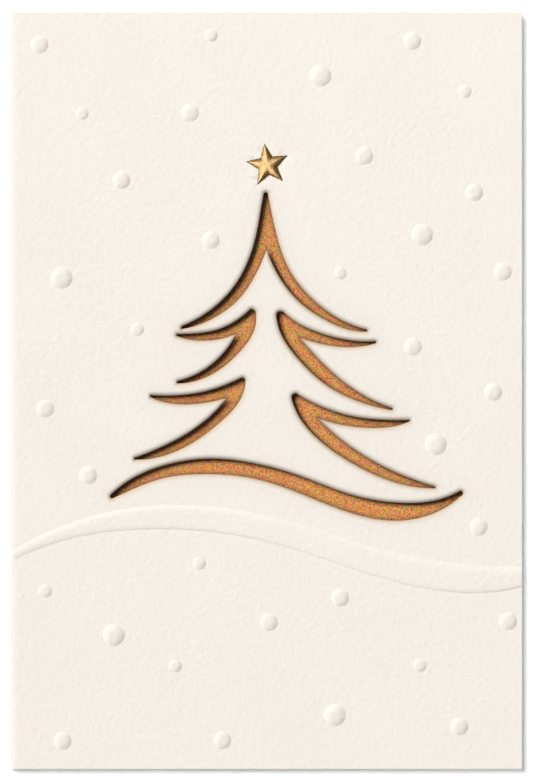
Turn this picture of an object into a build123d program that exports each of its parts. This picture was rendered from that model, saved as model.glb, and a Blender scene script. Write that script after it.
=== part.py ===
from build123d import *
from math import cos, radians, sin
import os

# A folded greeting card that lies closed with its cover up. Millimetres.
# The fold is at -X, the head of the card at +Y. The origin is the middle of the card, on what it lies on.

# The sheet, folded and closed
card_width = 115.0  # from the fold to the free edge
card_height = 170.0
board = 0.35  # thickness of the cream board

# The folded insert of glitter paper, which lies on the back panel
insert_leaf = 0.15  # thickness of the glitter paper
leaf_gap = 0.1  # air between its two leaves
spring_gap = 0.9  # air between its upper leaf and the cover, held open by the spring of the fold
insert_margin = 3.0  # from the card's open edges to the insert's
fold_clearance = 0.2  # room between the insert's bend and the card's fold

# The tree, cut through the cover
tree_width = 79.0  # across the ground stroke
tree_height = 73.5  # from the bottom of the ground stroke to the tip of the crown
tree_foot = 55.9  # from the card's bottom edge to the bottom of the ground stroke
square_end = 0.9  # an end of a stroke that is narrower than this is cut square, and a wider one is round

# The star over the crown, embossed and covered with foil
star_radius = 4.9  # to the points
star_notch_radius = 2.2
star_rise = 0.6
star_tilt = 8.3  # degrees, to the left
star_lift = 6.2  # its centre over the tip of the crown
star_offset = 0.4  # its centre to the right of the tree's axis
star_points = 5
foil = 0.05

# The snow, embossed domes in three sizes
snow_large = 4.9  # diameter at the rim
snow_medium = 4.0
snow_small = 3.0
snow_slope = 14.0  # degrees, of the dome at its rim

# The hill band, embossed from the fold to the free edge
hill_rise = 0.16
hill_upper_ramp = 0.8  # width of the ramp up to its top along its upper edge
hill_lower_ramp = 0.35
hill_fold_margin = 0.3  # from the start of the fold to the end of the band

# Snow domes, in percent of the cover's width and height from its lower left corner
SNOW = {
    snow_large: [(60.7, 91.6), (80.5, 70.6), (10.1, 64.9), (83.2, 42.9), (20.3, 17.7), (63.5, 7.1)],
    snow_medium: [
        (5.8, 95.7), (78.6, 96.2), (35.2, 86.7), (69.2, 81.0), (21.8, 77.8), (90.7, 76.2), (39.3, 69.9),
        (96.3, 65.7), (78.7, 55.8), (94.4, 49.8), (6.9, 47.6), (15.3, 38.8), (91.6, 32.0), (64.5, 22.6),
        (50.6, 19.4), (97.3, 19.5), (87.8, 5.6), (10.3, 3.7), (41.5, 3.8),
    ],
    snow_small: [
        (39.3, 96.9), (88.9, 89.5), (14.1, 86.6), (64.5, 65.5), (24.9, 58.1), (37.0, 27.2), (6.9, 23.5),
        (80.1, 13.7), (32.3, 13.6),
    ],
}

# The hill band's two edges on the same percent grid, from the fold to the free edge. The first number of each
# is only a height, because the band starts beside the fold.
hill_crest_start = 29.0
HILL_CREST = [
    (10.2, 32.07), (20.8, 34.12), (32.9, 34.84), (45.0, 34.1), (55.9, 32.5), (70.9, 29.34), (84.4, 27.39),
    (100.0, 26.79),
]
hill_foot_start = 27.65
HILL_FOOT = [
    (8.7, 29.78), (17.3, 31.15), (28.4, 31.66), (43.4, 30.94), (57.5, 28.54), (74.3, 24.87), (87.9, 23.27),
    (100.0, 24.02),
]

# The tree's openings, in percent of its width from its axis and of its height from its foot. Each opening is
# a ring of curved sides. Where one side ends away from the next, a short end joins them.
TREE = {
    "crown": [
        [(-0.6, 99.6), (-1.4, 94.7), (-2.4, 88.6), (-3.9, 82.4), (-6.2, 76.3), (-9.8, 70.2), (-15.7, 64.1),
         (-24.0, 59.1)],
        [(-24.0, 58.4), (-18.7, 59.9), (-13.0, 63.0), (-7.3, 68.1), (-3.4, 74.2), (0.3, 82.9)],
        [(0.3, 82.9), (3.9, 74.3), (9.7, 66.7), (18.2, 60.6), (23.9, 58.2), (28.7, 57.6)],
        [(28.8, 58.1), (21.1, 61.2), (13.4, 67.2), (8.4, 73.3), (5.3, 79.4), (3.4, 85.5), (2.0, 91.6),
         (0.57, 99.6)],
    ],
    "upper left bough": [
        [(-4.4, 64.4), (-7.3, 61.7), (-13.0, 58.4), (-18.7, 57.1), (-25.4, 56.8)],
        [(-25.4, 56.4), (-21.6, 55.2), (-17.3, 54.9), (-13.0, 55.4), (-8.3, 57.1)],
        [(-8.3, 57.1), (-11.3, 51.9), (-17.6, 45.8), (-25.2, 42.4)],
        [(-25.2, 41.8), (-18.7, 43.0), (-13.0, 46.2), (-7.3, 51.7), (-3.5, 57.7), (-2.9, 63.3)],
    ],
    "lower left bough": [
        [(-7.2, 43.3), (-13.0, 40.6), (-18.7, 38.9), (-24.4, 38.1), (-32.8, 38.1)],
        [(-32.8, 37.7), (-28.7, 36.1), (-23.0, 35.4), (-17.3, 35.9), (-11.0, 37.4)],
        [(-11.0, 37.4), (-17.0, 30.5), (-26.1, 24.1), (-37.4, 18.9)],
        [(-37.4, 18.5), (-30.1, 19.4), (-21.6, 23.2), (-13.0, 30.0), (-7.3, 36.9), (-5.8, 42.4)],
    ],
    "upper right bough": [
        [(5.1, 63.4), (9.7, 59.7), (15.4, 57.1), (22.5, 55.1), (31.3, 54.6)],
        [(31.3, 54.1), (23.9, 52.9), (16.8, 53.7), (9.4, 55.9)],
        [(9.4, 55.9), (15.6, 48.4), (24.1, 40.5), (36.1, 34.1)],
        [(35.9, 33.6), (26.8, 36.2), (18.2, 40.7), (9.7, 48.8), (4.3, 57.1), (3.0, 62.3)],
    ],
    "lower right bough": [
        [(9.4, 38.1), (15.4, 34.8), (23.9, 31.8), (32.5, 30.6), (40.9, 30.5)],
        [(40.9, 30.2), (35.3, 28.5), (28.2, 28.3), (21.1, 29.3), (14.5, 31.3)],
        [(14.5, 31.3), (21.4, 24.5), (29.9, 18.3), (38.4, 13.8), (48.2, 10.1)],
        [(48.2, 9.7), (38.1, 11.2), (26.8, 16.2), (15.4, 24.4), (9.0, 32.6), (7.4, 37.2)],
    ],
    "ground": [
        [(-44.0, 7.7), (-38.6, 12.2), (-28.7, 16.7), (-15.9, 18.7), (-4.5, 17.5), (9.7, 13.4), (23.9, 7.8),
         (38.1, 5.2), (48.1, 5.9), (55.1, 8.75)],
        [(55.45, 7.45), (49.5, 3.0), (38.1, -0.1), (23.9, 2.4), (9.7, 8.3), (-4.5, 13.0), (-17.3, 14.1),
         (-30.1, 12.6), (-36.9, 9.95), (-43.5, 6.7)],
    ],
}

# Worked out from the sizes above
thickness = 2 * board + 2 * insert_leaf + leaf_gap + spring_gap
free_edge = card_width / 2
cover_underside = thickness - board
fold_axis = -card_width / 2 + thickness / 2
insert_bend_axis = fold_axis + fold_clearance
insert_edge = free_edge - insert_margin
tree_foot_y = -card_height / 2 + tree_foot
star_centre = (star_offset, tree_foot_y + tree_height + star_lift)


def on_cover(point):
    """A point of the cover, from percent of its width and height."""
    across, up = point
    return Vector(card_width * (across / 100 - 0.5), card_height * (up / 100 - 0.5))


def on_tree(point):
    """A point of the tree, from percent of its width and height."""
    across, up = point
    return Vector(tree_width * across / 100, tree_foot_y + tree_height * up / 100)


def star_corner(number):
    """Corner of the star's outline, counted to the left from its top point. Every other one is a notch."""
    angle = radians(90 + star_tilt + number * 180 / star_points)
    radius = star_notch_radius if number % 2 else star_radius
    return Vector(star_centre[0] + radius * cos(angle), star_centre[1] + radius * sin(angle))


# The star: ten facets that rise from its outline to one peak
with BuildSketch() as star_outline:
    with BuildLine():
        Polyline(*[star_corner(number) for number in range(2 * star_points)], close=True)
    make_face()

with BuildPart() as star_relief:
    loft([star_outline.sketch, Vertex(*star_centre, star_rise)], ruled=True)


def snow_dome(diameter):
    """A cap split off a sphere, standing on the plane of the board's face."""
    radius = diameter / 2 / sin(radians(snow_slope))
    rim_height = radius * cos(radians(snow_slope))
    with BuildPart() as dome:
        with Locations((0, 0, -rim_height)):
            Sphere(radius, rotation=(90, 0, 0))
        split(bisect_by=Plane.XY, keep=Keep.TOP)
    return dome.part


# The embossing die: all the raised forms, standing on the plane of the board's face
with BuildPart() as relief:
    add(star_relief.part)

    for diameter, places in SNOW.items():
        with Locations(*[on_cover(place) for place in places]):
            add(snow_dome(diameter))

    # The hill band's foot on the board, then its narrower top
    for height, upper_inset, lower_inset in ((0, 0, 0), (hill_rise, hill_upper_ramp, hill_lower_ramp)):
        band_start = fold_axis + hill_fold_margin + upper_inset
        crest_start = Vector(band_start, on_cover((0, hill_crest_start)).Y)
        foot_start = Vector(band_start, on_cover((0, hill_foot_start)).Y)
        with BuildSketch(Plane.XY.offset(height)):
            with BuildLine():
                crest_points = [crest_start] + [on_cover(point) for point in HILL_CREST]
                foot_points = [foot_start] + [on_cover(point) for point in HILL_FOOT]
                crest = Spline(*[point - Vector(0, upper_inset) for point in crest_points])
                foot = Spline(*[point + Vector(0, lower_inset) for point in foot_points])
                Line(crest @ 0, foot @ 0)
                Line(crest @ 1, foot @ 1)
            make_face()
    loft(ruled=True)

# The folded sheet: back panel, fold and cover in one piece
with BuildPart() as card:
    with BuildSketch(Plane.XZ):
        with BuildLine():
            back_run = Line((free_edge, board / 2), (fold_axis, board / 2))
            fold_run = JernArc(back_run @ 1, back_run % 1, (thickness - board) / 2, -180)
            Line(fold_run @ 1, (free_edge, thickness - board / 2))
        trace(line_width=board)
    extrude(amount=card_height / 2, both=True)

    # Embossed: raised on the cover's face, and hollow by as much behind it
    with Locations((0, 0, thickness)):
        add(relief.part)
    with Locations((0, 0, cover_underside)):
        add(relief.part, mode=Mode.SUBTRACT)

    # The six openings go through the cover alone
    with BuildSketch(Plane.XY.offset(cover_underside)):
        for sides in TREE.values():
            with BuildLine():
                for side, following in zip(sides, sides[1:] + sides[:1]):
                    edge = Spline(*[on_tree(point) for point in side])
                    tip_start, tip_end = edge @ 1, on_tree(following[0])
                    if (tip_end - tip_start).length >= square_end:
                        TangentArc(tip_start, tip_end, tangent=edge % 1)
                    elif side[-1] != following[0]:
                        Line(tip_start, tip_end)
            make_face()
    extrude(amount=board, mode=Mode.SUBTRACT)

# The insert: glitter paper folded once, its lower leaf on the back panel
with BuildPart() as glitter_insert:
    with BuildSketch(Plane.XZ):
        with BuildLine():
            lower_leaf = Line(
                (insert_edge, board + insert_leaf / 2), (insert_bend_axis, board + insert_leaf / 2)
            )
            bend = JernArc(lower_leaf @ 1, lower_leaf % 1, (insert_leaf + leaf_gap) / 2, -180)
            Line(bend @ 1, (insert_edge, board + insert_leaf + leaf_gap + insert_leaf / 2))
        trace(line_width=insert_leaf)
    extrude(amount=card_height / 2 - insert_margin, both=True)

# The foil: a skin of even thickness over the star's ten facets
with BuildPart() as star_foil:
    with BuildSketch(Plane.XY.offset(thickness)):
        add(star_outline.sketch)
    extrude(amount=foil)
    with Locations((0, 0, thickness + foil)):
        add(star_relief.part)
    with Locations((0, 0, thickness)):
        add(star_relief.part, mode=Mode.SUBTRACT)

card.part.label = "card"
glitter_insert.part.label = "glitter_insert"
star_foil.part.label = "star_foil"

os.makedirs("parts", exist_ok=True)
export_step(card.part, "parts/card.step")
export_step(glitter_insert.part, "parts/glitter_insert.step")
export_step(star_foil.part, "parts/star_foil.step")
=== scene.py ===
import logging
import math
from dataclasses import dataclass, field
from enum import Enum

import bmesh
import bpy
import numpy as np
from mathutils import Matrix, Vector
from mathutils.geometry import delaunay_2d_cdt
from mathutils.kdtree import KDTree


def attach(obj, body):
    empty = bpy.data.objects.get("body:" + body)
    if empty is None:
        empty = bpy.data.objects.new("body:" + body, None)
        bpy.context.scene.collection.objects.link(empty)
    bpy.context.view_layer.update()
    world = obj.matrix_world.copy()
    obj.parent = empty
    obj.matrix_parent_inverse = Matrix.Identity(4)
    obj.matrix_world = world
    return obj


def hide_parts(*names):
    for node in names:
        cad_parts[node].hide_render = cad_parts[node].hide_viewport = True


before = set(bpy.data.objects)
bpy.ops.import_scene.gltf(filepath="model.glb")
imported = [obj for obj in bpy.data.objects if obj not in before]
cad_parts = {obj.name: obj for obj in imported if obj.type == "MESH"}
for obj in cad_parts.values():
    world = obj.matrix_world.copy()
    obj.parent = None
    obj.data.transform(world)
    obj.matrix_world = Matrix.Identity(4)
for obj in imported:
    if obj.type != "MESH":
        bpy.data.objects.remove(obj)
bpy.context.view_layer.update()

LOG = logging.getLogger("greeting_card")

Row = list[tuple[float, float]]
Colour = tuple[float, float, float]

# Sizes are millimetres until a mesh is finished, and then metres.
MM = 0.001

# These take up rounding: in lengths, in shares, where points are joined, and at the end of a run of numbers.
CLOSE, ROUNDING, JOIN_WITHIN, ARANGE_END = 1e-4, 1e-9, 1e-5, 0.01

# The kind of output of delaunay_2d_cdt that has the triangles inside the outline alone
INSIDE_OUTLINE = 1

# How many knots settle a curve's slope at its end
END_KNOTS = 4

# How many points the side of a ring gets when the nearest place on it is sought
SIDE_POINTS = 5

# Points beside a ring keep this share of their distance from it, and stand this far from each other.
OFFSET_KEPT, LEAST_STEP, STEP_SHARE = 0.97, 0.05, 0.15

# Nearly all of a soft noise lies between these.
NOISE_RUN = (0.35, 0.65)

# Numbers of a Mix node's colour sockets, since its other kinds have sockets of the same names
MIX_FIRST, MIX_SECOND, MIX_RESULT = 6, 7, 2

# How glossy paper is, where the shader's own value is 0.5
PAPER_SPECULAR = 0.2

# What the foil's points carry for its finish
RIM_DISTANCE = "rim_distance"

WHITE: Colour = (1.0, 1.0, 1.0)


class Slot(Enum):
    """Material slots of the part's record."""

    BOARD = "felt_board"
    GLITTER = "glitter_paper"
    FOIL = "gold_foil"


class Snow(Enum):
    """Diameters of the embossed snow."""

    LARGE = 4.9
    MEDIUM = 4.0
    SMALL = 3.0


class Mark(Enum):
    """What the sheet's points carry for its finish and its painted shade."""

    CUT_DISTANCE = "cut_distance"
    PRESSING = "pressing"
    FOLD_SHADING = "rubbing"
    SMOKE = "smoke"
    SHADE_GREYNESS = "sootiness"


# Snow, in percent of the cover's width and height from its lower left corner
SNOW: dict[Snow, Row] = {
    Snow.LARGE: [(60.7, 91.6), (80.5, 70.6), (10.1, 64.9), (83.2, 42.9), (20.3, 17.7), (63.5, 7.1)],
    Snow.MEDIUM: [
        (5.8, 95.7), (78.6, 96.2), (35.2, 86.7), (69.2, 81.0), (21.8, 77.8), (90.7, 76.2), (39.3, 69.9),
        (96.3, 65.7), (78.7, 55.8), (94.4, 49.8), (6.9, 47.6), (15.3, 38.8), (91.6, 32.0), (64.5, 22.6),
        (50.6, 19.4), (97.3, 19.5), (87.8, 5.6), (10.3, 3.7), (41.5, 3.8),
    ],
    Snow.SMALL: [
        (39.3, 96.9), (88.9, 89.5), (14.1, 86.6), (64.5, 65.5), (24.9, 58.1), (37.0, 27.2), (6.9, 23.5),
        (80.1, 13.7), (32.3, 13.6),
    ],
}

# The hill band's two edges on the same percent grid. The first number of each is the height at the fold.
CREST_START, FOOT_START = 29.0, 27.65
CREST: Row = [
    (10.2, 32.07), (20.8, 34.12), (32.9, 34.84), (45.0, 34.1), (55.9, 32.5), (70.9, 29.34), (84.4, 27.39),
    (100.0, 26.79),
]
FOOT: Row = [
    (8.7, 29.78), (17.3, 31.15), (28.4, 31.66), (43.4, 30.94), (57.5, 28.54), (74.3, 24.87), (87.9, 23.27),
    (100.0, 24.02),
]

# The band's rise and the widths of the ramps at its two edges in millimetres, at percent of the way across
BAND_RISE: Row = [(0.0, 0.115), (20.0, 0.155), (35.0, 0.16), (100.0, 0.16)]
CREST_RAMP: Row = [(0.0, 1.45), (20.0, 1.2), (38.0, 1.25), (50.0, 1.8), (100.0, 2.0)]
FOOT_RAMP: Row = [(0.0, 0.52), (20.0, 0.45), (40.0, 0.35), (100.0, 0.34)]

# Strength of the real singe beside a cut, with painted shade that differs by the direction, in degrees, in
# which the board lies from it
SMOKE: Row = [
    (0.0, 0.7), (45.0, 1.24), (90.0, 1.46), (135.0, 1.0), (180.0, 0.55), (225.0, 1.12), (270.0, 0.8),
    (315.0, 0.92), (360.0, 0.7),
]

# The tree's openings, in percent of its width from its axis and of its height from its foot
TREE: dict[str, list[Row]] = {
    "crown": [
        [(-0.6, 99.6), (-1.4, 94.7), (-2.4, 88.6), (-3.9, 82.4), (-6.2, 76.3), (-9.8, 70.2), (-15.7, 64.1),
         (-24.0, 59.1)],
        [(-24.0, 58.4), (-18.7, 59.9), (-13.0, 63.0), (-7.3, 68.1), (-3.4, 74.2), (0.3, 82.9)],
        [(0.3, 82.9), (3.9, 74.3), (9.7, 66.7), (18.2, 60.6), (23.9, 58.2), (28.7, 57.6)],
        [(28.8, 58.1), (21.1, 61.2), (13.4, 67.2), (8.4, 73.3), (5.3, 79.4), (3.4, 85.5), (2.0, 91.6),
         (0.57, 99.6)],
    ],
    "upper left bough": [
        [(-4.4, 64.4), (-7.3, 61.7), (-13.0, 58.4), (-18.7, 57.1), (-25.4, 56.8)],
        [(-25.4, 56.4), (-21.6, 55.2), (-17.3, 54.9), (-13.0, 55.4), (-8.3, 57.1)],
        [(-8.3, 57.1), (-11.3, 51.9), (-17.6, 45.8), (-25.2, 42.4)],
        [(-25.2, 41.8), (-18.7, 43.0), (-13.0, 46.2), (-7.3, 51.7), (-3.5, 57.7), (-2.9, 63.3)],
    ],
    "lower left bough": [
        [(-7.2, 43.3), (-13.0, 40.6), (-18.7, 38.9), (-24.4, 38.1), (-32.8, 38.1)],
        [(-32.8, 37.7), (-28.7, 36.1), (-23.0, 35.4), (-17.3, 35.9), (-11.0, 37.4)],
        [(-11.0, 37.4), (-17.0, 30.5), (-26.1, 24.1), (-37.4, 18.9)],
        [(-37.4, 18.5), (-30.1, 19.4), (-21.6, 23.2), (-13.0, 30.0), (-7.3, 36.9), (-5.8, 42.4)],
    ],
    "upper right bough": [
        [(5.1, 63.4), (9.7, 59.7), (15.4, 57.1), (22.5, 55.1), (31.3, 54.6)],
        [(31.3, 54.1), (23.9, 52.9), (16.8, 53.7), (9.4, 55.9)],
        [(9.4, 55.9), (15.6, 48.4), (24.1, 40.5), (36.1, 34.1)],
        [(35.9, 33.6), (26.8, 36.2), (18.2, 40.7), (9.7, 48.8), (4.3, 57.1), (3.0, 62.3)],
    ],
    "lower right bough": [
        [(9.4, 38.1), (15.4, 34.8), (23.9, 31.8), (32.5, 30.6), (40.9, 30.5)],
        [(40.9, 30.2), (35.3, 28.5), (28.2, 28.3), (21.1, 29.3), (14.5, 31.3)],
        [(14.5, 31.3), (21.4, 24.5), (29.9, 18.3), (38.4, 13.8), (48.2, 10.1)],
        [(48.2, 9.7), (38.1, 11.2), (26.8, 16.2), (15.4, 24.4), (9.0, 32.6), (7.4, 37.2)],
    ],
    "ground": [
        [(-44.0, 7.7), (-38.6, 12.2), (-28.7, 16.7), (-15.9, 18.7), (-4.5, 17.5), (9.7, 13.4), (23.9, 7.8),
         (38.1, 5.2), (48.1, 5.9), (55.1, 8.75)],
        [(55.45, 7.45), (49.5, 3.0), (38.1, -0.1), (23.9, 2.4), (9.7, 8.3), (-4.5, 13.0), (-17.3, 14.1),
         (-30.1, 12.6), (-36.9, 9.95), (-43.5, 6.7)],
    ],
}


def eased(share: np.ndarray) -> np.ndarray:
    """Runs smoothly from 0 to 1 as share does."""
    kept = np.clip(share, 0.0, 1.0)
    return kept * kept * (3 - 2 * kept)


def drawn(knots: np.ndarray, spacing: float) -> np.ndarray:
    """Draws the smooth curve through a row of knots.

    Args:
        knots: the points that the curve goes through.
        spacing: the greatest distance between two points of the drawn curve.

    Returns:
        The points of the curve, with both ends.
    """
    steps = np.linalg.norm(np.diff(knots, axis=0), axis=1)
    along = np.concatenate(([0.0], np.cumsum(steps)))
    system, wanted = np.eye(len(knots)), np.zeros((len(knots), 2))
    reach = min(END_KNOTS, len(knots))
    wanted[0] = np.polyfit(along[:reach], knots[:reach], reach - 1)[-2]
    wanted[-1] = np.polyfit(along[-reach:] - along[-1], knots[-reach:], reach - 1)[-2]
    for i in range(1, len(knots) - 1):
        before, after = steps[i - 1], steps[i]
        way_in, way_out = knots[i] - knots[i - 1], knots[i + 1] - knots[i]
        system[i, i - 1:i + 2] = after, 2 * (before + after), before
        wanted[i] = 3 * (after / before * way_in + before / after * way_out)
    slopes = np.linalg.solve(system, wanted)
    runs = []
    for i, step in enumerate(steps):
        count = max(1, math.ceil(step / spacing))
        t = (np.arange(count) / count)[:, None]
        runs.append(
            (2 * t**3 - 3 * t**2 + 1) * knots[i] + (t**3 - 2 * t**2 + t) * step * slopes[i]
            + (3 * t**2 - 2 * t**3) * knots[i + 1] + (t**3 - t**2) * step * slopes[i + 1]
        )
    return np.concatenate([*runs, knots[-1:]])


def round_end(start: np.ndarray, end: np.ndarray, heading: np.ndarray, spacing: float) -> np.ndarray:
    """Draws the arc that closes the end of a stroke.

    Args:
        start: the last point of one side.
        end: the first point of the next.
        heading: the direction of the first side at its end.
        spacing: the greatest distance between two points.

    Returns:
        The arc's points between start and end.
    """
    chord = end - start
    along = heading / np.linalg.norm(heading)
    aside = np.array((-along[1], along[0]))
    radius = chord @ chord / (2 * (chord @ aside))
    sweep = 2 * math.atan2(chord @ aside, chord @ along)
    count = max(2, math.ceil(abs(sweep * radius) / spacing))
    angles = sweep * np.arange(1, count) / count
    arm = -aside * radius
    turned = np.stack((arm[0] * np.cos(angles) - arm[1] * np.sin(angles),
                       arm[0] * np.sin(angles) + arm[1] * np.cos(angles)), axis=1)
    return start - arm + turned


def enclosed(points: np.ndarray, ring: np.ndarray) -> np.ndarray:
    """Says which points lie inside a closed ring.

    Args:
        points: the points.
        ring: the ring's corners.

    Returns:
        True for each point inside.
    """
    inside = np.zeros(len(points), bool)
    for a, b in zip(ring, np.roll(ring, -1, axis=0)):
        spans = (a[1] > points[:, 1]) != (b[1] > points[:, 1])
        if spans.any():
            crossing = a[0] + (points[:, 1] - a[1]) * (b[0] - a[0]) / (b[1] - a[1])
            inside ^= spans & (points[:, 0] < crossing)
    return inside


def filled_in(ring: np.ndarray, count: int) -> np.ndarray:
    """Puts points along the sides of a closed ring, count to a side with its first corner."""
    parts = np.linspace(0, 1, count + 1)[:-1, None, None]
    return (ring + (np.roll(ring, -1, axis=0) - ring) * parts).reshape(-1, 2)


def kd_tree(points: np.ndarray) -> KDTree:
    """Sorts points for a search of the nearest.

    Args:
        points: the points.

    Returns:
        The sorted tree.
    """
    tree = KDTree(len(points))
    for i, point in enumerate(points):
        tree.insert((*point, 0.0), i)
    tree.balance()
    return tree


def ways_from(points: np.ndarray, lines: list[np.ndarray]) -> np.ndarray:
    """Gives the way to each point from the nearest place on some closed rings.

    Args:
        points: the points.
        lines: the rings.

    Returns:
        One vector for each point.
    """
    tree = kd_tree(np.concatenate([filled_in(ring, SIDE_POINTS) for ring in lines]))
    return points - np.array([tree.find((*point, 0.0))[0].xy for point in points])


def distances(points: np.ndarray, lines: list[np.ndarray]) -> np.ndarray:
    """Measures how far each point is from the nearest of some closed rings."""
    return np.linalg.norm(ways_from(points, lines), axis=1)


@dataclass(frozen=True)
class Wire:
    """A value in a material. Arithmetic on it adds Math nodes."""

    bench: "Bench"
    socket: bpy.types.NodeSocket

    def _with(self, operation: str, other: "Wire | float") -> "Wire":
        """Joins this and another value by one operation, in which their order doesn't matter."""
        return self.bench.wire("ShaderNodeMath", {"operation": operation}, {0: self, 1: other})

    def __add__(self, other: "Wire | float") -> "Wire":
        """Adds."""
        return self._with("ADD", other)

    __radd__ = __add__

    def __mul__(self, other: "Wire | float") -> "Wire":
        """Multiplies."""
        return self._with("MULTIPLY", other)

    __rmul__ = __mul__


class Bench:
    """The nodes of one material or of the world."""

    def __init__(self, owner: "bpy.types.Material | bpy.types.World") -> None:
        """Gives its owner an empty tree of nodes.

        Args:
            owner: the material or the world.
        """
        owner.use_nodes = True
        self.tree = owner.node_tree
        self.tree.nodes.clear()

    def add(self, kind: str, settings: dict[str, object], sockets: dict[int | str, object]) -> bpy.types.Node:
        """Adds a node.

        Args:
            kind: the node's type.
            settings: its own settings, such as a Math node's operation.
            sockets: a value or a link for each of its inputs.

        Returns:
            The node.
        """
        node = self.tree.nodes.new(kind)
        for name, value in settings.items():
            setattr(node, name, value)
        for name, value in sockets.items():
            if isinstance(value, Wire):
                self.tree.links.new(value.socket, node.inputs[name])
            else:
                node.inputs[name].default_value = value
        return node

    def wire(self, kind: str, settings: dict[str, object], sockets: dict[int | str, object],
             output: int | str = 0) -> Wire:
        """Adds a node and gives one of its outputs."""
        return Wire(self, self.add(kind, settings, sockets).outputs[output])

    def vector(self, operation: str, *parts: object, **named: object) -> Wire:
        """Joins vectors or colours by one operation."""
        sockets = {**dict(enumerate(parts)), **named}
        return self.wire("ShaderNodeVectorMath", {"operation": operation}, sockets)

    def place(self) -> Wire:
        """Gives the place on the piece, in millimetres."""
        metres = self.wire("ShaderNodeTexCoord", {}, {}, "Object")
        return self.vector("SCALE", metres, Scale=1 / MM)

    def carried(self, name: str) -> Wire:
        """Gives a value that the piece's points carry."""
        return self.wire("ShaderNodeAttribute", {"attribute_name": name}, {}, "Fac")

    def ray(self, kind: str) -> Wire:
        """Gives 1 to one kind of ray, and 0 to the others."""
        return self.wire("ShaderNodeLightPath", {}, {}, kind)

    def noise(self, place: Wire, per_mm: float, detail: float = 2.0, roughness: float = 0.5) -> Wire:
        """Gives a soft random value from 0 to 1 over the surface."""
        return self.wire("ShaderNodeTexNoise", {},
                         {"Vector": place, "Scale": per_mm, "Detail": detail, "Roughness": roughness})

    def mix(self, share: Wire, first: Wire | Colour, second: Wire | Colour) -> Wire:
        """Mixes two colours, by the second one's share."""
        ends = [end if isinstance(end, Wire) else (*end, 1.0) for end in (first, second)]
        return self.wire("ShaderNodeMix", {"data_type": "RGBA"},
                         {"Factor": share, MIX_FIRST: ends[0], MIX_SECOND: ends[1]}, MIX_RESULT)

    def level(self, value: Wire, low: float, high: float, at_low: float = 0.0, at_high: float = 1.0) -> Wire:
        """Stretches the run of a value between low and high over a new one, and holds it outside."""
        return self.wire("ShaderNodeMapRange", {}, {"Value": value, "From Min": low, "From Max": high,
                                                    "To Min": at_low, "To Max": at_high})

    def bump(self, depth: float, height: Wire) -> Wire:
        """Raises the surface in looks by up to depth, in millimetres."""
        return self.wire("ShaderNodeBump", {}, {"Strength": 1.0, "Distance": depth * MM, "Height": height})

    def surface(self, sockets: dict[int | str, object]) -> None:
        """Ends a material with the shader that takes these values."""
        shader = self.wire("ShaderNodeBsdfPrincipled", {}, sockets)
        self.add("ShaderNodeOutputMaterial", {}, {"Surface": shader})


@dataclass(frozen=True)
class FeltBoard:
    """Matt cream board, fine felt mark, browned where the cut burnt it; painted shade on the fold and by the
    cuts.
    """

    shade: Colour = (0.957, 0.880, 0.786)
    warm: Colour = (0.945, 0.867, 0.767)
    # The board is drawn a little darker over the snow domes.
    snow_tone: Colour = (0.919, 0.847, 0.748)
    # Painted shade on the fold, which leans towards the key lamp
    fold_shaded: Colour = (0.675, 0.625, 0.57)
    singed: Colour = (0.48, 0.26, 0.06)
    # The grey of the painted shade beside the cuts; the board is also drawn darker towards it near the
    # openings
    shade_grey: Colour = (0.40, 0.33, 0.245)
    burnt: Colour = (0.085, 0.058, 0.038)
    burnt_reach: float = 0.085
    singe_reach: float = 1.34
    # How far from the openings, and how strongly at the cut, the board is drawn darker and greyer
    darkening_reach: float = 5.5
    darkening: float = 0.3
    cloud_per_mm: float = 0.05
    felt_per_mm: float = 0.85
    felt_detail: float = 3.0
    felt_roughness: float = 0.55
    felt_depth: float = 0.082
    fibre_per_mm: float = 2.4
    fibre_share: float = 0.25
    fleck_per_mm: float = 1.4
    fleck: float = 0.09
    roughness: float = 0.9

    def material(self) -> bpy.types.Material:
        """Makes the material.

        Returns:
            The material.
        """
        made = bpy.data.materials.new(Slot.BOARD.value)
        bench = Bench(made)
        place = bench.place()
        near_cut, pressing, rubbing, smoke, sootiness = (bench.carried(mark.value) for mark in Mark)
        cloud = bench.noise(place, self.cloud_per_mm)
        plain = bench.mix(bench.level(cloud, *NOISE_RUN), self.shade, self.warm)
        flecks = bench.noise(place, self.fleck_per_mm)
        flecked = bench.level(flecks, 0.0, 1.0, 1 - self.fleck / 2, 1 + self.fleck / 2)
        board = bench.vector("SCALE", plain, Scale=flecked)
        # Painted shade: the fold is drawn darker, so that where it leans to the key lamp it is no brighter
        # than the cover.
        fold_shaded = bench.mix(rubbing, bench.mix(pressing, board, self.snow_tone), self.fold_shaded)
        # Darker and greyer towards the openings
        darkening = bench.level(near_cut, 0.0, self.darkening_reach, self.darkening, 0.0)
        darkened = bench.mix(darkening * darkening, fold_shaded, self.shade_grey)
        singe = bench.level(near_cut, 0.0, self.singe_reach, 1.0, 0.0)
        # Real brown singe along every cut, with painted grey shade whose strength differs by direction
        singed = bench.mix(singe * singe * smoke, darkened, bench.mix(sootiness, self.singed, self.shade_grey))
        burn = bench.level(near_cut, 0.0, self.burnt_reach, 1.0, 0.0)
        felt = bench.noise(place, self.felt_per_mm, self.felt_detail, self.felt_roughness)
        fibre = bench.noise(place, self.fibre_per_mm)
        bench.surface({"Base Color": bench.mix(burn, singed, self.burnt), "Roughness": self.roughness,
                       "Specular IOR Level": PAPER_SPECULAR,
                       "Normal": bench.bump(self.felt_depth, felt + fibre * self.fibre_share)})
        return made


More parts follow.
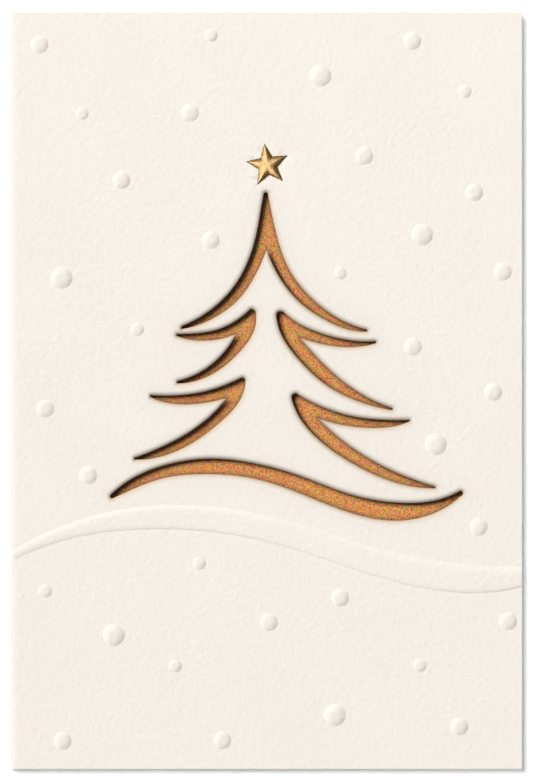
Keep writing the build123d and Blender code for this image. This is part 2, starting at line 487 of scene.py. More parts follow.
@dataclass(frozen=True)
class PlainLining:
    """The uncoated cream side of the glitter paper."""

    shade: Colour = (0.86, 0.80, 0.72)
    darker: float = 0.94
    cloud_per_mm: float = 0.6
    cloud_detail: float = 3.0
    roughness: float = 0.85

    def material(self) -> bpy.types.Material:
        """Makes the material.

        Returns:
            The material.
        """
        made = bpy.data.materials.new("plain_lining")
        bench = Bench(made)
        cloud = bench.noise(bench.place(), self.cloud_per_mm, self.cloud_detail)
        colour = bench.mix(cloud, self.shade, tuple(self.darker * part for part in self.shade))
        bench.surface({"Base Color": colour, "Roughness": self.roughness,
                       "Specular IOR Level": PAPER_SPECULAR})
        return made


@dataclass(frozen=True)
class GlitterCoat:
    """Copper glitter: fine flakes that each catch another colour, with painted shade near the cut edges."""

    flakes_per_mm: float = 8.4
    shade: Colour = (0.68, 0.28, 0.044)
    spread: Colour = (1.06, 0.76, 0.60)
    # Painted shade near the cut edges: its colour, its strength at the edge and how far in it reaches
    edge_shade: Colour = (0.045, 0.045, 0.045)
    edge_shade_share: float = 0.855
    edge_shade_reach: float = 1.95
    flake_detail: float = 1.0
    flake_depth: float = 0.03
    roughness: float = 0.7

    def material(self) -> bpy.types.Material:
        """Makes the material.

        Returns:
            The material.
        """
        made = bpy.data.materials.new(Slot.GLITTER.value)
        bench = Bench(made)
        place = bench.place()
        cell = bench.wire("ShaderNodeTexVoronoi", {"feature": "F1"},
                          {"Vector": place, "Scale": self.flakes_per_mm}, "Color")
        darkest = tuple(shade - spread / 2 for shade, spread in zip(self.shade, self.spread))
        uneven = bench.vector("MULTIPLY_ADD", cell, self.spread, darkest)
        glitter = bench.vector("MAXIMUM", uneven, (0.0, 0.0, 0.0))
        near_cut = bench.carried(Mark.CUT_DISTANCE.value)
        # Painted shade: the glitter is drawn darker towards the openings' edges, where the cover's walls
        # shade it.
        edge_shade = bench.level(near_cut, 0.0, self.edge_shade_reach, self.edge_shade_share, 0.0)
        lean = bench.noise(place, self.flakes_per_mm, self.flake_detail)
        bench.surface({"Base Color": bench.mix(edge_shade * edge_shade * edge_shade, glitter, self.edge_shade),
                       "Roughness": self.roughness, "Specular IOR Level": PAPER_SPECULAR,
                       "Normal": bench.bump(self.flake_depth, lean)})
        return made


@dataclass(frozen=True)
class GoldFoil:
    """Bright gold foil, pressed on, with painted shade along its rim."""

    light: Colour = (0.91, 0.655, 0.31)
    deep: Colour = (0.83, 0.53, 0.21)
    # Painted shade along the outline, and the distances over which it fades out
    shaded_rim: Colour = (0.10, 0.06, 0.03)
    shaded_rim_run: tuple[float, float] = (0.12, 0.34)
    cloud_per_mm: float = 1.2
    cloud_run: tuple[float, float] = (0.3, 0.7)
    detail: float = 3.0
    roughness: tuple[float, float] = (0.33, 0.41)
    brush_per_mm: tuple[float, float, float] = (3.4, 0.8, 1.0)
    brush_depth: float = 0.04

    def material(self) -> bpy.types.Material:
        """Makes the material.

        Returns:
            The material.
        """
        made = bpy.data.materials.new(Slot.FOIL.value)
        bench = Bench(made)
        place = bench.place()
        cloud = bench.noise(place, self.cloud_per_mm, self.detail)
        gold = bench.mix(bench.level(cloud, *NOISE_RUN), self.light, self.deep)
        # Painted shade: the foil is drawn dark brown along its outline, for the shadow of the groove round
        # the star.
        shaded_rim = bench.level(bench.carried(RIM_DISTANCE), *self.shaded_rim_run, 1.0, 0.0)
        brushed = bench.noise(bench.vector("MULTIPLY", place, self.brush_per_mm), 1.0, self.detail)
        bench.surface({"Base Color": bench.mix(shaded_rim, gold, self.shaded_rim), "Metallic": 1.0,
                       "Roughness": bench.level(cloud, *self.cloud_run, *self.roughness),
                       "Normal": bench.bump(self.brush_depth, brushed)})
        return made


@dataclass(frozen=True)
class CoverPlan:
    """Sizes of the folded sheet, and what is drawn on its cover."""

    width: float = 115.0
    height: float = 170.0
    board: float = 0.35
    thickness: float = 2.0
    tree_width: float = 79.0
    tree_height: float = 73.5
    tree_foot: float = 55.9
    square_end: float = 0.8
    star_radius: float = 4.9
    star_notch_radius: float = 2.2
    star_rise: float = 0.6
    star_tilt: float = 8.3
    star_lift: float = 6.2
    star_offset: float = 0.4
    star_points: int = 5
    snow_slope: float = 16.3
    snow_top: float = 0.27
    band_spacing: float = 0.5

    @property
    def fold_axis(self) -> float:
        """Distance across of the axis that the sheet is folded round."""
        return -self.width / 2 + self.thickness / 2

    @property
    def free_edge(self) -> float:
        """Distance across of the open edge."""
        return self.width / 2

    @property
    def head(self) -> float:
        """Distance up of the card's top edge."""
        return self.height / 2

    @property
    def tree_base(self) -> float:
        """Distance up of the bottom of the ground stroke."""
        return self.tree_foot - self.height / 2

    @property
    def star_centre(self) -> np.ndarray:
        """Middle of the star."""
        return np.array((self.star_offset, self.tree_base + self.tree_height + self.star_lift))

    def on_cover(self, places: Row) -> np.ndarray:
        """Gives points of the cover from percent of its width and height."""
        return (np.array(places) / 100 - 0.5) * (self.width, self.height)

    def on_tree(self, places: Row) -> np.ndarray:
        """Gives points of the tree from percent of its width and height."""
        return np.array(places) / 100 * (self.tree_width, self.tree_height) + (0.0, self.tree_base)

    def snow_dots(self) -> list[tuple[np.ndarray, float]]:
        """Gives the middle and the radius of each snow dot."""
        return [(centre, size.value / 2) for size, places in SNOW.items() for centre in self.on_cover(places)]

    def star_corners(self) -> np.ndarray:
        """Gives the ten corners of the star.

        Returns:
            Points and notches in turn, from the top point to the left.
        """
        turns = np.arange(2 * self.star_points)
        angles = np.radians(90 + self.star_tilt + turns * 180 / self.star_points)
        radii = np.where(turns % 2, self.star_notch_radius, self.star_radius)
        return self.star_centre + np.stack((radii * np.cos(angles), radii * np.sin(angles)), axis=1)

    def opening(self, sides: list[Row], spacing: float) -> np.ndarray:
        """Draws one of the tree's openings.

        Args:
            sides: the rows of knots of its sides.
            spacing: the greatest distance between two points.

        Returns:
            The points of the closed ring, each once.
        """
        knots = [self.on_tree(side) for side in sides]
        ring = []
        for side, following in zip(knots, knots[1:] + knots[:1]):
            run = drawn(side, spacing)
            gap = np.linalg.norm(following[0] - side[-1])
            if gap >= self.square_end:
                ring += [run, round_end(run[-1], following[0], run[-1] - run[-2], spacing)]
            elif gap > 0:
                ring.append(run)
            else:
                ring.append(run[:-1])
        return np.concatenate(ring)

    def openings(self, spacing: float) -> list[np.ndarray]:
        """Draws all of the tree's openings."""
        return [self.opening(sides, spacing) for sides in TREE.values()]

    def band_edge(self, start: float, places: Row) -> np.ndarray:
        """Draws one edge of the hill band, from the fold to the free edge."""
        first = (self.fold_axis, self.on_cover([(0.0, start)])[0][1])
        return drawn(np.concatenate(([first], self.on_cover(places))), self.band_spacing)


@dataclass
class Relief:
    """Heights of the cover's face over the flat board."""

    plan: CoverPlan
    lip_width: float = 1.05
    lip_drop: float = 0.18
    groove_width: float = 0.3
    groove_drop: float = 0.06
    star_seat: float = 0.85
    pressed_rim: float = 0.2
    crest: np.ndarray = field(init=False)
    foot: np.ndarray = field(init=False)

    def __post_init__(self) -> None:
        """Draws the hill band's edges."""
        self.crest = self.plan.band_edge(CREST_START, CREST)
        self.foot = self.plan.band_edge(FOOT_START, FOOT)

    def snow(self, points: np.ndarray) -> np.ndarray:
        """Gives the height of the snow's domes.

        Args:
            points: places on the cover.

        Returns:
            The heights.
        """
        height = np.zeros(len(points))
        steepness = math.tan(math.radians(self.plan.snow_slope)) / 2
        top = self.plan.snow_top
        for centre, radius in self.plan.snow_dots():
            share = np.linalg.norm(points - centre, axis=1) / radius
            fall = np.clip((share - top) / (1 - top), 0, 1) ** 2
            height = np.maximum(height, radius * (1 - top) * steepness * (1 - fall))
        return height

    def pressing(self, points: np.ndarray) -> np.ndarray:
        """Says how far each point lies in the snow.

        Args:
            points: places on the cover.

        Returns:
            A value from 0 outside to 1 well inside.
        """
        inside = np.zeros(len(points))
        for centre, radius in self.plan.snow_dots():
            share = np.linalg.norm(points - centre, axis=1) / radius
            inside = np.maximum(inside, eased((1 - share) / self.pressed_rim))
        return inside

    def hill(self, points: np.ndarray) -> np.ndarray:
        """Gives the height of the hill band.

        Args:
            points: places on the cover.

        Returns:
            The heights.
        """
        below_crest = np.interp(points[:, 0], *self.crest.T) - points[:, 1]
        above_foot = points[:, 1] - np.interp(points[:, 0], *self.foot.T)
        across = (points[:, 0] / self.plan.width + 0.5) * 100
        upper = 1 - np.clip(1 - below_crest / np.interp(across, *np.array(CREST_RAMP).T), 0, 1) ** 2
        lower = 1 - np.exp(-np.maximum(above_foot, 0) / np.interp(across, *np.array(FOOT_RAMP).T))
        return np.interp(across, *np.array(BAND_RISE).T) * np.maximum(upper, 0) * lower

    def star_share(self, points: np.ndarray) -> np.ndarray:
        """Gives how far each point is from the star's middle.

        Args:
            points: places on the cover.

        Returns:
            The shares of the way to the star's outline, and 1 outside.
        """
        corners = self.plan.star_corners() - self.plan.star_centre
        from_centre = points - self.plan.star_centre
        share = np.ones(len(points))
        for a, b in zip(corners, np.roll(corners, -1, axis=0)):
            along_a, along_b = np.linalg.solve(np.stack((a, b), axis=1), from_centre.T)
            facet = (along_a >= -ROUNDING) & (along_b >= -ROUNDING)
            share = np.where(facet, np.minimum(along_a + along_b, 1), share)
        return share

    def star(self, points: np.ndarray) -> np.ndarray:
        """Gives the height of the star."""
        return self.plan.star_rise * self.star_seat * (1 - self.star_share(points))

    def embossed(self, points: np.ndarray) -> np.ndarray:
        """Gives the height of all that is pressed up from behind."""
        return self.snow(points) + self.hill(points) + self.star(points)

    def face(self, points: np.ndarray, from_cut: np.ndarray, from_star: np.ndarray) -> np.ndarray:
        """Gives the height of the cover's face.

        Args:
            points: places on the cover.
            from_cut: their distances from the nearest opening.
            from_star: their distances from the star's outline.

        Returns:
            The heights over the flat board.
        """
        lip = self.lip_drop * np.clip(1 - from_cut / self.lip_width, 0, 1) ** 3
        groove = self.groove_drop * np.clip(1 - from_star / self.groove_width, 0, 1)
        return self.embossed(points) - lip - groove


class PointBed:
    """Points and edges laid out on the flat cover, from which its triangles are made."""

    def __init__(self) -> None:
        """Starts with nothing."""
        self.points: list[np.ndarray] = []
        self.edges: list[tuple[int, int]] = []

    def lay_line(self, points: np.ndarray, closed: bool) -> None:
        """Lays a row of points whose edges the triangles keep.

        Args:
            points: the points in order.
            closed: whether the last is joined to the first.
        """
        first = len(self.points)
        self.points += list(points)
        self.edges += [(first + i, first + i + 1) for i in range(len(points) - 1)]
        if closed:
            self.edges.append((first + len(points) - 1, first))

    def scatter(self, points: np.ndarray, clearance: float) -> None:
        """Lays the points that stand at least clearance from those that are there."""
        tree = kd_tree(np.array(self.points))
        self.points += [p for p in points if tree.find((*p, 0.0))[2] >= clearance]

    def lay_beside(self, rings: list[np.ndarray], offset: float) -> None:
        """Lays points at one distance from some closed rings.

        Args:
            rings: the rings.
            offset: the distance, positive outside the rings and negative inside.
        """
        for ring in rings:
            ahead, behind = np.roll(ring, -1, axis=0), np.roll(ring, 1, axis=0)
            along = ahead - behind
            aside = np.stack((along[:, 1], -along[:, 0]), axis=1) / np.linalg.norm(along, axis=1)[:, None]
            area = np.sum(ring[:, 0] * ahead[:, 1] - ahead[:, 0] * ring[:, 1])
            moved = ring + math.copysign(offset, area * offset) * aside
            clear = distances(moved, rings) > OFFSET_KEPT * abs(offset)
            self.scatter(moved[clear], LEAST_STEP + STEP_SHARE * abs(offset))

    def triangles(self) -> tuple[np.ndarray, list[list[int]]]:
        """Joins the points.

        Returns:
            The points as they are after the join, and the corners of each triangle.
        """
        flat = [Vector(p) for p in self.points]
        made = delaunay_2d_cdt(flat, self.edges, [], INSIDE_OUTLINE, JOIN_WITHIN)
        return np.array([tuple(v) for v in made[0]]), made[2]


def verts_of(made: dict[str, list]) -> list[bmesh.types.BMVert]:
    """Picks the vertices out of what an operator made."""
    return [v for v in made["geom"] if isinstance(v, bmesh.types.BMVert)]


def turned_over(bm: bmesh.types.BMesh, edges: list[bmesh.types.BMEdge], axis: Vector,
                steps: int) -> list[bmesh.types.BMEdge]:
    """Turns a fold of half a round out of some edges.

    Args:
        bm: the mesh.
        edges: the edges, all over the fold's axis.
        axis: a place on that axis, which runs along Y.
        steps: how many steps the fold has.

    Returns:
        The edges at its other end.
    """
    turned = bmesh.ops.spin(bm, geom=edges, cent=axis, axis=(0, 1, 0), angle=-math.pi, steps=steps)
    return [e for e in turned["geom_last"] if isinstance(e, bmesh.types.BMEdge)]


def run_out(bm: bmesh.types.BMesh, edges: list[bmesh.types.BMEdge], reach: float) -> list[bmesh.types.BMVert]:
    """Runs a flat panel out from some edges.

    Args:
        bm: the mesh.
        edges: the edges.
        reach: how far across the panel goes.

    Returns:
        The vertices of its far edge.
    """
    made = verts_of(bmesh.ops.extrude_edge_only(bm, edges=edges))
    bmesh.ops.translate(bm, verts=made, vec=(reach, 0, 0))
    return made


def second_side(bm: bmesh.types.BMesh) -> list[bmesh.types.BMVert]:
    """Gives an open sheet its other side, which still lies in the first, and returns that side's vertices."""
    sheet = [*bm.faces, *bm.edges, *bm.verts]
    return verts_of(bmesh.ops.extrude_face_region(bm, geom=sheet, use_keep_orig=True))


def finished(name: str, bm: bmesh.types.BMesh, materials: list[bpy.types.Material], stands_for: str,
             crease: float = 35.0) -> bpy.types.Object:
    """Turns a mesh in millimetres into a piece that rides with the card.

    Args:
        name: the piece's name.
        bm: its mesh.
        materials: its materials, in the order of its faces' indices.
        stands_for: the CAD node that it is shown in place of.
        crease: the angle in degrees above which an edge stays sharp.

    Returns:
        The piece.
    """
    bmesh.ops.scale(bm, vec=(MM, MM, MM), verts=bm.verts)
    bmesh.ops.recalc_face_normals(bm, faces=bm.faces)
    for face in bm.faces:
        face.smooth = True
    mesh = bpy.data.meshes.new(name)
    bm.to_mesh(mesh)
    bm.free()
    mesh.set_sharp_from_angle(angle=math.radians(crease))
    for material in materials:
        mesh.materials.append(material)
    piece = bpy.data.objects.new(name, mesh)
    bpy.context.scene.collection.objects.link(piece)
    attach(piece, "root")
    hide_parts(stands_for)
    mesh.calc_loop_triangles()
    LOG.info("%s: %d triangles", name, len(mesh.loop_triangles))
    return piece


@dataclass
class FoldedCard:
    """The sheet: cover, fold and back panel in one piece."""

    plan: CoverPlan
    relief: Relief
    outline_spacing: float = 0.35
    rings: tuple[float, ...] = (0.06, 0.14, 0.25, 0.4, 0.6, 0.85, 1.1, 1.4)
    crest_rows: tuple[float, ...] = (0.12, 0.0, -0.14, -0.28, -0.46, -0.7, -0.95, -1.25, -1.6, -2.0)
    foot_rows: tuple[float, ...] = (-0.1, 0.0, 0.09, 0.2, 0.36, 0.6, 1.0, 1.6)
    row_clearance: float = 0.08
    edge_spacing: float = 2.0
    edge_clearance: float = 0.3
    snow_rings: tuple[float, ...] = (0.0, 0.2, 0.3, 0.42, 0.56, 0.7, 0.82, 0.91, 0.97, 1.0, 1.04, 1.12)
    snow_sides: int = 36
    snow_clearance: float = 0.01
    spoke_share: float = 0.999
    star_rings: tuple[float, ...] = (1.04, 1.1)
    star_side_points: int = 7
    star_clearance: float = 0.05
    grid: float = 2.4
    grid_clearance: float = 0.8
    fold_reach: float = 0.9
    fold_steps: int = 20
    relief_lean: float = 70.0
    # How far round the fold, in degrees, its painted shade grows to full
    fold_shading_lean: float = 32.0
    # The way, in degrees, in which the painted shade beside the cuts is greyest
    shade_grey_way: float = 96.0

    @property
    def fold_centre(self) -> Vector:
        """A place on the axis that the sheet is folded round."""
        return Vector((self.plan.fold_axis, 0.0, self.plan.thickness / 2))

    @property
    def band(self) -> tuple[tuple[np.ndarray, tuple[float, ...]], ...]:
        """The hill band's edges, each with the rows of points that follow it."""
        return (self.relief.crest, self.crest_rows), (self.relief.foot, self.foot_rows)

    def heights(self, end: int, reach: float) -> np.ndarray:
        """Gives heights from the foot to the head of the card, close together where the hill band ends.

        Args:
            end: 0 for the band's end at the fold, and -1 for the one at the free edge.
            reach: how far from the band's edges its rows may lie.

        Returns:
            The heights in order.
        """
        near = [edge[end][1] + row for edge, rows in self.band for row in rows if abs(row) < reach]
        wide = np.arange(-self.plan.head, self.plan.head + ARANGE_END, self.edge_spacing)
        kept = wide[np.min(np.abs(wide[:, None] - np.array(near)), axis=1) > self.edge_clearance]
        return np.sort(np.concatenate((kept, near)))

    def outline(self) -> np.ndarray:
        """Gives the cover's outline.

        Returns:
            The points of the closed ring, each once, from the lower left corner.
        """
        left, right, head = self.plan.fold_axis, self.plan.free_edge, self.plan.head
        across = np.linspace(left, right, round((right - left) / self.edge_spacing) + 1)
        up, down = self.heights(-1, math.inf), self.heights(0, self.fold_reach)[::-1]
        sides = ((across, -head), (right, up), (across[::-1], head), (left, down))
        return np.concatenate([np.stack(np.broadcast_arrays(x, y), axis=1)[:-1] for x, y in sides])

    def lay_band(self, bed: PointBed) -> None:
        """Lays the hill band's edges, and rows of points beside them.

        Args:
            bed: the cover's points.
        """
        left, right = self.plan.fold_axis + self.edge_clearance, self.plan.free_edge - self.edge_clearance
        band = [(edge[(edge[:, 0] > left) & (edge[:, 0] < right)], rows) for edge, rows in self.band]
        for edge, _ in band:
            bed.lay_line(edge, False)
        for edge, rows in band:
            for row in rows:
                bed.scatter(edge + (0.0, row), self.row_clearance)

    def lay_snow(self, bed: PointBed) -> None:
        """Lays rings of points over the snow.

        Args:
            bed: the cover's points.
        """
        for centre, radius in self.plan.snow_dots():
            for share in self.snow_rings:
                count = self.snow_sides if share else 1
                turns = np.arange(count) * 2 * math.pi / count
                ring = share * radius * np.stack((np.cos(turns), np.sin(turns)), axis=1)
                bed.scatter(centre + ring, self.snow_clearance)

    def laid_out(self, openings: list[np.ndarray]) -> PointBed:
        """Lays the cover's points: along every edge, in rings round it, and in a grid between.

        Args:
            openings: the rings of the tree's openings.

        Returns:
            All the points.
        """
        plan, bed = self.plan, PointBed()
        star, middle = plan.star_corners(), plan.star_centre
        for ring in (self.outline(), *openings, star):
            bed.lay_line(ring, True)
        for corner in star:
            bed.lay_line(np.stack((middle, middle + (corner - middle) * self.spoke_share)), False)
        self.lay_band(bed)
        self.lay_snow(bed)
        for offset in self.rings:
            bed.lay_beside(openings, offset)
        for share in self.star_rings:
            ring = middle + (star - middle) * share
            bed.scatter(filled_in(ring, self.star_side_points), self.star_clearance)
        columns = np.arange(plan.fold_axis + self.grid / 2, plan.free_edge, self.grid)
        rows = np.arange(-plan.head + self.grid / 2, plan.head, self.grid)
        bed.scatter(np.stack(np.meshgrid(columns, rows), axis=-1).reshape(-1, 2), self.grid_clearance)
        return bed

    def skin(self, bm: bmesh.types.BMesh) -> None:
        """Makes the cover's face, with its openings and its relief.

        Args:
            bm: the card's mesh.
        """
        openings = self.plan.openings(self.outline_spacing)
        points, triangles = self.laid_out(openings).triangles()
        middles = np.array([points[list(corners)].mean(axis=0) for corners in triangles])
        gone = np.zeros(len(triangles), bool)
        for ring in openings:
            gone |= enclosed(middles, ring)
        ways = ways_from(points, openings)
        from_cut = np.linalg.norm(ways, axis=1)
        directions = np.degrees(np.arctan2(ways[:, 1], ways[:, 0])) % 360
        from_star = distances(points, [self.plan.star_corners()])
        heights = self.plan.thickness + self.relief.face(points, from_cut, from_star)
        carried = {
            Mark.CUT_DISTANCE: from_cut,
            Mark.PRESSING: self.relief.pressing(points),
            Mark.FOLD_SHADING: np.zeros(len(points)),
            # Painted shade beside the cuts by direction, over the real singe
            Mark.SMOKE: np.interp(directions, *np.array(SMOKE).T),
            Mark.SHADE_GREYNESS: 0.5 + 0.5 * np.cos(np.radians(directions - self.shade_grey_way)),
        }
        layers = {mark: bm.verts.layers.float.new(mark.value) for mark in Mark}
        verts = [bm.verts.new((*point, z)) for point, z in zip(points, heights)]
        for mark, layer in layers.items():
            for vert, value in zip(verts, carried[mark]):
                vert[layer] = value
        for corners, cut_out in zip(triangles, gone):
            if not cut_out:
                bm.faces.new([verts[i] for i in corners])
        bmesh.ops.delete(bm, geom=[v for v in bm.verts if not v.link_faces], context="VERTS")

    def fold_over(self, bm: bmesh.types.BMesh) -> None:
        """Turns the fold round from the cover's left edge, and runs the back panel out from it.

        Args:
            bm: the card's mesh, which is the cover's face so far.
        """
        left, half, centre = self.plan.fold_axis, self.plan.thickness / 2, self.fold_centre
        layers = bm.verts.layers.float
        cut_distance, rubbing = layers[Mark.CUT_DISTANCE.value], layers[Mark.FOLD_SHADING.value]
        edges = [e for e in bm.edges if e.is_boundary and all(v.co.x < left + CLOSE for v in e.verts)]
        last = turned_over(bm, edges, centre, self.fold_steps)
        for vert in bm.verts:
            if vert.co.x < left - CLOSE or vert.co.z < half:
                arm = vert.co - centre
                arm.y = 0
                lean = math.atan2(-arm.x, arm.z) if arm.x < 0 else math.pi
                kept = float(eased(np.array(1 - lean / math.radians(self.relief_lean))))
                vert.co += arm.normalized() * ((arm.length - half) * (kept - 1))
                vert[cut_distance] = self.plan.width
                # Painted fold shade, growing as the fold leans round
                vert[rubbing] = float(eased(np.array(lean / math.radians(self.fold_shading_lean))))
        for vert in run_out(bm, last, self.plan.free_edge - left):
            vert[cut_distance], vert[rubbing] = self.plan.width, 0.0

    def thicken(self, bm: bmesh.types.BMesh) -> None:
        """Gives the sheet its thickness, inwards from the face.

        Args:
            bm: the card's mesh, which is the sheet's outer side so far.
        """
        plan, centre = self.plan, self.fold_centre
        inner = second_side(bm)
        cover = [v for v in inner if v.co.x > plan.fold_axis - CLOSE and v.co.z > plan.thickness / 2]
        under = self.relief.embossed(np.array([v.co.xy for v in cover]))
        for vert, raised in zip(cover, under):
            vert.co.z = plan.thickness - plan.board + raised
        for vert in set(inner) - set(cover):
            if vert.co.x > plan.fold_axis + CLOSE:
                vert.co.z = plan.board
            else:
                arm = vert.co - centre
                arm.y = 0
                vert.co -= arm.normalized() * plan.board

    def build(self, finish: FeltBoard) -> bpy.types.Object:
        """Builds and dresses the sheet.

        Args:
            finish: the board's finish.

        Returns:
            The piece.
        """
        bm = bmesh.new()
        self.skin(bm)
        self.fold_over(bm)
        self.thicken(bm)
        return finished("folded_card", bm, [finish.material()], "card")


@dataclass
class GlitterInsert:
    """The glitter paper, folded once, that shows through the openings."""

    plan: CoverPlan
    leaf: float = 0.15
    leaf_gap: float = 0.1
    margin: float = 3.0
    clearance: float = 0.2
    bend_steps: int = 12
    outline_spacing: float = 0.6
    rings: tuple[float, ...] = (2.4, -0.3, -0.7, -1.2, -1.8, -2.4)

    def skin(self, bm: bmesh.types.BMesh, across: tuple[float, float], reach: float, height: float) -> None:
        """Makes the upper face, where each point carries its distance from the cut over it.

        Args:
            bm: the insert's mesh.
            across: where the face starts, at the bend, and ends.
            reach: how far it goes up and down from the card's middle.
            height: its height over the table.
        """
        openings = self.plan.openings(self.outline_spacing)
        start, end = across
        bed = PointBed()
        bed.lay_line(np.array([(start, -reach), (end, -reach), (end, reach), (start, reach)]), True)
        for ring in openings:
            bed.lay_line(ring, True)
        for offset in self.rings:
            bed.lay_beside(openings, offset)
        points, triangles = bed.triangles()
        cut_distance = bm.verts.layers.float.new(Mark.CUT_DISTANCE.value)
        verts = [bm.verts.new((*point, height)) for point in points]
        for vert, distance in zip(verts, distances(points, openings)):
            vert[cut_distance] = distance
        for corners in triangles:
            bm.faces.new([verts[i] for i in corners])

    def build(self, coat: GlitterCoat, lining: PlainLining) -> bpy.types.Object:
        """Builds and dresses the insert.

        Args:
            coat: the finish of its outer side.
            lining: the finish of its inner side.

        Returns:
            The piece.
        """
        plan = self.plan
        bend, edge = plan.fold_axis + self.clearance, plan.free_edge - self.margin
        outside = self.leaf + self.leaf_gap / 2
        middle = plan.board + outside
        bm = bmesh.new()
        self.skin(bm, (bend, edge), plan.head - self.margin, middle + outside)
        edges = [e for e in bm.edges if all(v.co.x < bend + CLOSE for v in e.verts)]
        last = turned_over(bm, edges, Vector((bend, 0, middle)), self.bend_steps)
        run_out(bm, last, edge - bend)
        outer = set(bm.faces)
        inner_share = (self.leaf_gap / 2) / outside
        for vert in second_side(bm):
            vert.co.z = middle + (vert.co.z - middle) * inner_share
            if vert.co.x < bend:
                vert.co.x = bend + (vert.co.x - bend) * inner_share
        for face in bm.faces:
            face.material_index = 0 if face in outer else 1
        return finished("glitter_paper_insert", bm, [coat.material(), lining.material()], "glitter_insert")


@dataclass
class StarFoil:
    """The gold foil over the embossed star."""

    plan: CoverPlan
    relief: Relief
    foil: float = 0.05
    fullness: float = 3.0
    cuts: int = 7
    softening: int = 2
    softening_share: float = 0.5

    def build(self, finish: GoldFoil) -> bpy.types.Object:
        """Builds and dresses the foil.

        Args:
            finish: the foil's finish.

        Returns:
            The piece.
        """
        plan = self.plan
        base = plan.thickness + self.foil
        bm = bmesh.new()
        bmesh.ops.create_circle(bm, cap_ends=True, segments=2 * plan.star_points, radius=plan.star_radius)
        bm.verts.ensure_lookup_table()
        for vert, corner in zip(bm.verts, plan.star_corners()):
            vert.co = (*corner, base)
        peak = bmesh.ops.poke(bm, faces=bm.faces, offset=0.0)["verts"][0]
        peak.co = (*plan.star_centre, base)
        bmesh.ops.subdivide_edges(bm, edges=bm.edges, cuts=self.cuts, use_grid_fill=True)
        bmesh.ops.triangulate(bm, faces=bm.faces)
        places = np.array([v.co.xy for v in bm.verts])
        heights = plan.star_rise * (1 - self.relief.star_share(places) ** self.fullness)
        from_rim = distances(places, [plan.star_corners()])
        shaded_rim = bm.verts.layers.float.new(RIM_DISTANCE)
        for vert, height, distance in zip(bm.verts, heights, from_rim):
            vert.co.z += height
            vert[shaded_rim] = distance
        inner = [v for v in bm.verts if not v.is_boundary]
        for _ in range(self.softening):
            bmesh.ops.smooth_vert(bm, verts=inner, factor=self.softening_share, use_axis_z=True)
        bmesh.ops.translate(bm, verts=second_side(bm), vec=(0, 0, -self.foil))
        return finished("star_foil_skin", bm, [finish.material()], "star_foil")


class Lights(Enum):
    """What a lamp lights. Two of the values are light linking's words for how it treats the floor."""

    ALL = "ALL"
    CARD = "EXCLUDE"
    FLOOR = "INCLUDE"


def hung(lamp: bpy.types.Light, place: Vector) -> bpy.types.Object:
    """Hangs a lamp, and turns it to the card.

    Args:
        lamp: the lamp.
        place: where it hangs, in metres.

    Returns:
        The hung lamp.
    """
    made = bpy.data.objects.new(lamp.name, lamp)
    made.location = place
    made.rotation_mode = "QUATERNION"
    made.rotation_quaternion = place.to_track_quat("Z", "Y")
    bpy.context.scene.collection.objects.link(made)
    return made


@dataclass(frozen=True)
class FarLamp:
    """A lamp far from the card.

    Its share is its part of the light on a level surface. These are in degrees: its height over the card's
    plane, its way round from +X to the side that it hangs at, and its softness, or how wide it looks from
    the card.
    """

    name: str
    share: float
    height: float
    way: float
    softness: float
    colour: Colour = WHITE
    lights: Lights = Lights.ALL
    in_gloss: bool = True
    on_matt: bool = True

    def hang(self, floor: bpy.types.Object) -> None:
        """Hangs the lamp.

        Args:
            floor: the floor, which it may light alone or leave out.
        """
        lift, turn = math.radians(self.height), math.radians(self.way)
        lamp = bpy.data.lights.new(self.name, "SUN")
        lamp.energy, lamp.color = self.share * math.pi / math.sin(lift), self.colour
        lamp.angle = math.radians(self.softness)
        place = math.cos(lift) * math.cos(turn), math.cos(lift) * math.sin(turn), math.sin(lift)
        made = hung(lamp, Vector(place))
        made.visible_glossy, made.visible_diffuse = self.in_gloss, self.on_matt
        if self.lights is not Lights.ALL:
            group = bpy.data.collections.new(f"{self.name}_floor")
            group.objects.link(floor)
            made.light_linking.receiver_collection = group
            group.collection_objects[0].light_linking.link_state = self.lights.value


KEY_COLOUR: Colour = (0.975, 0.995, 1.02)

# Each lamp's name, share, height, way and softness
FAR_LAMPS = (
    FarLamp("key", 0.927, 37.0, 147.5, 34.0, KEY_COLOUR, Lights.CARD, in_gloss=False),
    FarLamp("floor_key", 0.88, 51.0, 137.0, 38.0, KEY_COLOUR, Lights.FLOOR),
    FarLamp("side", 0.025, 45.0, 222.0, 60.0),
    FarLamp("sheen", 0.50, 57.0, 180.0, 86.0, on_matt=False),
)


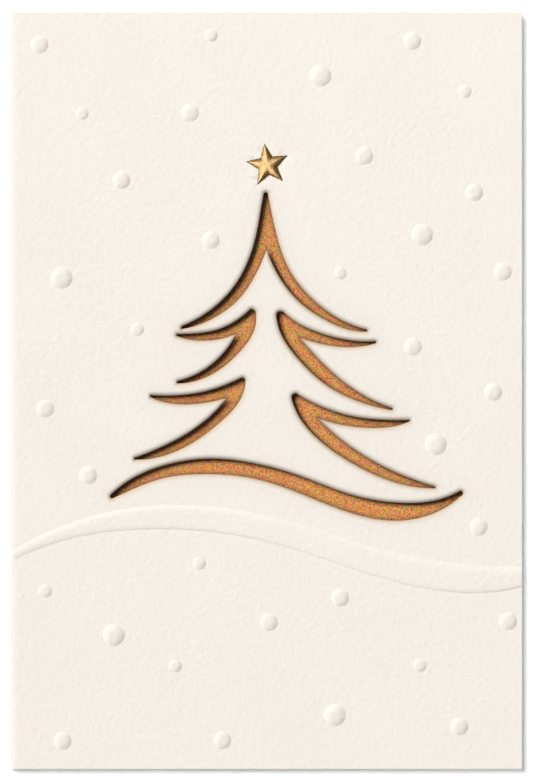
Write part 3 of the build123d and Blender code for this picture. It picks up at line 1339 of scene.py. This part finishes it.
@dataclass
class Studio:
    """Floor, light and camera. The picture's height and aim are in millimetres, the other sizes in metres."""

    plan: CoverPlan
    floor_reach: float = 2.0
    floor_drop: float = 0.02 * MM
    shadow_floor: float = 0.93
    white_floor: float = 0.365
    head_colour: Colour = (0.95, 1.0, 1.1)
    head_power: float = 0.06
    head_size: float = 0.25
    head_place: tuple[float, float, float] = (0.0, 0.22, 0.2)
    fill_share: float = 0.015
    fill_colour: Colour = (1.0, 0.88, 0.72)
    glow: Colour = (0.085, 0.05, 0.02)
    picture_height: float = 176.09
    aim: tuple[float, float] = (0.93, -0.34)
    lens: float = 200.0
    sensor: float = 36.0
    sight: tuple[float, float] = (0.01, 10.0)

    def floor(self) -> bpy.types.Object:
        """Lays a plain white floor that keeps the card's shadow.

        Returns:
            The floor.
        """
        bm = bmesh.new()
        bmesh.ops.create_grid(bm, x_segments=1, y_segments=1, size=self.floor_reach)
        bmesh.ops.translate(bm, verts=bm.verts, vec=(0, 0, -self.floor_drop))
        mesh = bpy.data.meshes.new("floor")
        bm.to_mesh(mesh)
        bm.free()
        floor = bpy.data.objects.new("floor", mesh)
        bpy.context.scene.collection.objects.link(floor)
        made = bpy.data.materials.new("white_floor")
        bench = Bench(made)
        tone = self.shadow_floor
        matt = bench.wire("ShaderNodeBsdfDiffuse", {}, {"Color": (tone, tone, tone, 1.0)})
        seen = bench.ray("Is Camera Ray") + bench.ray("Is Glossy Ray")
        white = bench.wire("ShaderNodeEmission", {}, {"Strength": seen * self.white_floor})
        both = bench.wire("ShaderNodeAddShader", {}, {0: matt, 1: white})
        bench.add("ShaderNodeOutputMaterial", {}, {"Surface": both})
        mesh.materials.append(made)
        return floor

    def world(self) -> None:
        """Fills with a little light, where the camera sees white, and gloss a dim glow."""
        world = bpy.data.worlds.new("studio")
        bpy.context.scene.world = world
        bench = Bench(world)
        fill = tuple(self.fill_share * part for part in self.fill_colour)
        unseen = bench.mix(bench.ray("Is Glossy Ray"), fill, self.glow)
        colour = bench.mix(bench.ray("Is Camera Ray"), unseen, WHITE)
        light = bench.wire("ShaderNodeBackground", {}, {"Color": colour, "Strength": 1.0})
        bench.add("ShaderNodeOutputWorld", {}, {"Surface": light})

    def lights(self, floor: bpy.types.Object) -> None:
        """Hangs the lamps over the card.

        Args:
            floor: the floor, which has a key lamp of its own.
        """
        for lamp in FAR_LAMPS:
            lamp.hang(floor)
        head = bpy.data.lights.new("head", "AREA")
        head.energy, head.size, head.color = self.head_power, self.head_size, self.head_colour
        hung(head, Vector(self.head_place))

    def camera(self) -> None:
        """Looks straight down on the card."""
        lens = bpy.data.cameras.new("camera")
        lens.lens, lens.sensor_width = self.lens, self.sensor
        lens.clip_start, lens.clip_end = self.sight
        away = self.picture_height * self.lens / self.sensor
        camera = bpy.data.objects.new("camera", lens)
        camera.location = [part * MM for part in (*self.aim, away + self.plan.thickness)]
        bpy.context.scene.collection.objects.link(camera)
        bpy.context.scene.camera = camera

    def set_up(self) -> None:
        """Sets up all of it."""
        bpy.context.scene.view_settings.view_transform = "Standard"
        self.lights(self.floor())
        self.world()
        self.camera()


def main() -> None:
    """Builds the card and its studio."""
    logging.basicConfig(level=logging.INFO, format="%(name)s %(message)s")
    plan = CoverPlan()
    relief = Relief(plan)
    FoldedCard(plan, relief).build(FeltBoard())
    GlitterInsert(plan).build(GlitterCoat(), PlainLining())
    StarFoil(plan, relief).build(GoldFoil())
    Studio(plan).set_up()


if __name__ == "__main__":
    main()
